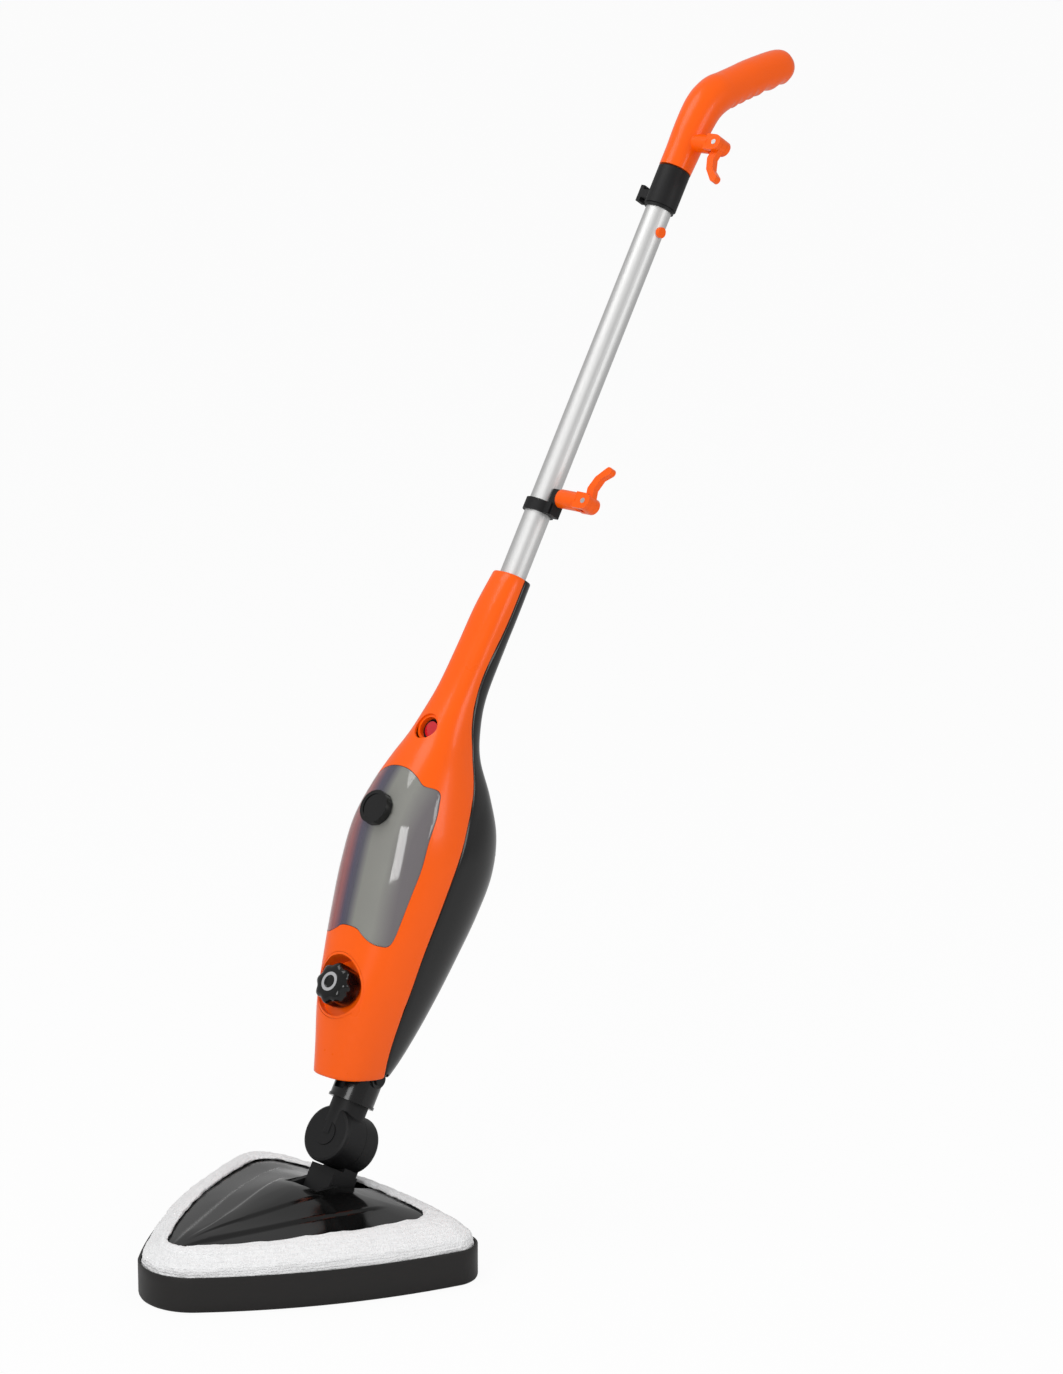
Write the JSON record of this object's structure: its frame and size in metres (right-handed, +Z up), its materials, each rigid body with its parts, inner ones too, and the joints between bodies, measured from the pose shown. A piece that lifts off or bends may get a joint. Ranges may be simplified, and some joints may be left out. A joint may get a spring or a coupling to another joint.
{
  "type": "steam mop",
  "caption": "Upright steam mop with triangular floor head, pad on a carpet glider, water tank, boiler, pole, cord hooks and bent grip.",
  "frame": {"origin": "on the floor under the pitch hinge of the floor head, at the underside of the carpet glider", "axes": "+Z up, -Y towards the tip of the floor head, +X across the head; the object is symmetric about X = 0 apart from its hooks, clip and buttons"},
  "size_m": [0.311, 0.8103, 1.0376],
  "materials": {
    "tray_black": "semi-matte moulded black",
    "terry": "white looped terry",
    "black_plastic": "fine matte black",
    "gloss_black": "gloss black",
    "grey_plastic": "grey moulding",
    "rubber": "silicone and rubber",
    "steel": "bright steel",
    "orange": "gloss orange",
    "smoke_clear": "smoky clear plastic",
    "chrome": "bright ring",
    "brass": "turned brass",
    "aluminium": "cast",
    "white_plastic": "white",
    "board": "green board",
    "red": "translucent red",
    "tube_aluminium": "satin anodised"
  },
  "bodies": {
    "floor_head": {"glider_tray": "tray_black", "mop_pad": "terry", "head_base": "black_plastic", "head_cover": "gloss_black", "steam_chamber": "grey_plastic", "chamber_seal": "rubber", "hinge_yoke": "black_plastic", "steam_elbow": "grey_plastic", "head_screws": "steel", "pitch_axle": "steel"},
    "swivel": {"swivel_post": "black_plastic", "roll_axle": "steel", "roll_seal": "rubber", "post_cap": "black_plastic"},
    "main_unit": {"neck_joint": "black_plastic", "drum_cap": "black_plastic", "neck_oring": "rubber", "neck_sleeve": "black_plastic", "front_shell": "orange", "rear_shell": "gloss_black", "bottom_cover": "black_plastic", "shell_screws": "steel", "cord_gland": "rubber", "water_tank": "smoke_clear", "outlet_seal": "rubber", "water_filter": "grey_plastic", "knob_dish": "orange", "steam_valve": "brass", "boiler": "aluminium", "boiler_element": "steel", "boiler_bracket": "steel", "thermostat": "black_plastic", "thermal_fuse": "white_plastic", "pump": "grey_plastic", "pump_mount": "rubber", "water_hose": "rubber", "feed_hose": "rubber", "steam_hose": "rubber", "circuit_board": "board", "switch_body": "black_plastic", "switch_bezel": "orange", "pole_tube": "tube_aluminium", "tube_plug": "black_plastic", "tube_screw": "steel", "hook_band": "black_plastic", "lower_arm": "orange", "handle_collar": "black_plastic", "cord_clip": "black_plastic", "handle_grip": "orange", "hook_pins": "steel"},
    "neck_button": {"neck_button": "black_plastic"},
    "cap_slider": {"cap_seal": "rubber"},
    "tank_cap": {"tank_cap": "black_plastic"},
    "steam_knob": {"steam_knob": "gloss_black", "knob_ring": "chrome"},
    "power_rocker": {"power_rocker": "red"},
    "tube_release": {"tube_release": "black_plastic"},
    "lock_button": {"lock_button": "orange"},
    "lower_finger": {"lower_finger": "orange"},
    "upper_finger": {"upper_finger": "orange"}
  },
  "joints": [
    {"name": "head_pitch", "type": "hinge", "parent": "floor_head", "child": "swivel", "pos_m": [0, 0, 0.042], "axis": [1, 0, 0], "range_deg": [-20, 29]},
    {"name": "neck_roll", "type": "hinge", "parent": "swivel", "child": "main_unit", "pos_m": [0, 0.01907, 0.10287], "axis": [0, -0.8572, 0.515], "range_deg": [-45, 45]},
    {"name": "knob_turn", "type": "hinge", "parent": "main_unit", "child": "steam_knob", "pos_m": [0, 0.02722, 0.24264], "axis": [0, -0.8572, 0.515], "range_deg": [-135, 135]},
    {"name": "rocker_tilt", "type": "hinge", "parent": "main_unit", "child": "power_rocker", "pos_m": [0, 0.14484, 0.45779], "axis": [1, 0, 0], "range_deg": [-16, 0]},
    {"name": "cap_lift", "type": "slide", "parent": "main_unit", "child": "cap_slider", "axis": [0, -0.8572, 0.515], "range_m": [0, 0.006]},
    {"name": "cap_turn", "type": "hinge", "parent": "cap_slider", "child": "tank_cap", "pos_m": [0, 0.07431, 0.39867], "axis": [0, -0.8572, 0.515], "range_deg": [0, 540]},
    {"name": "neck_release", "type": "slide", "parent": "main_unit", "child": "neck_button", "axis": [-1, 0, 0], "range_m": [0, 0.0025], "stiffness_N_per_m": 400},
    {"name": "tube_release_press", "type": "slide", "parent": "main_unit", "child": "tube_release", "axis": [0, -0.8572, 0.515], "range_m": [0, 0.002], "stiffness_N_per_m": 400},
    {"name": "lock_press", "type": "slide", "parent": "main_unit", "child": "lock_button", "axis": [-1, 0, 0], "range_m": [0, 0.003], "stiffness_N_per_m": 400},
    {"name": "lower_hook_swing", "type": "hinge", "parent": "main_unit", "child": "lower_finger", "pos_m": [0.055, 0.2855, 0.65385], "axis": [0, 0.8572, -0.515], "range_deg": [0, 180]},
    {"name": "upper_hook_swing", "type": "hinge", "parent": "main_unit", "child": "upper_finger", "pos_m": [0.041, 0.47014, 0.96114], "axis": [0, -0.8572, 0.515], "range_deg": [0, 180]}
  ],
  "couplings": [
    {"joint": "cap_lift", "follows": "cap_turn", "m_per_rad": 0.0006366}
  ]
}
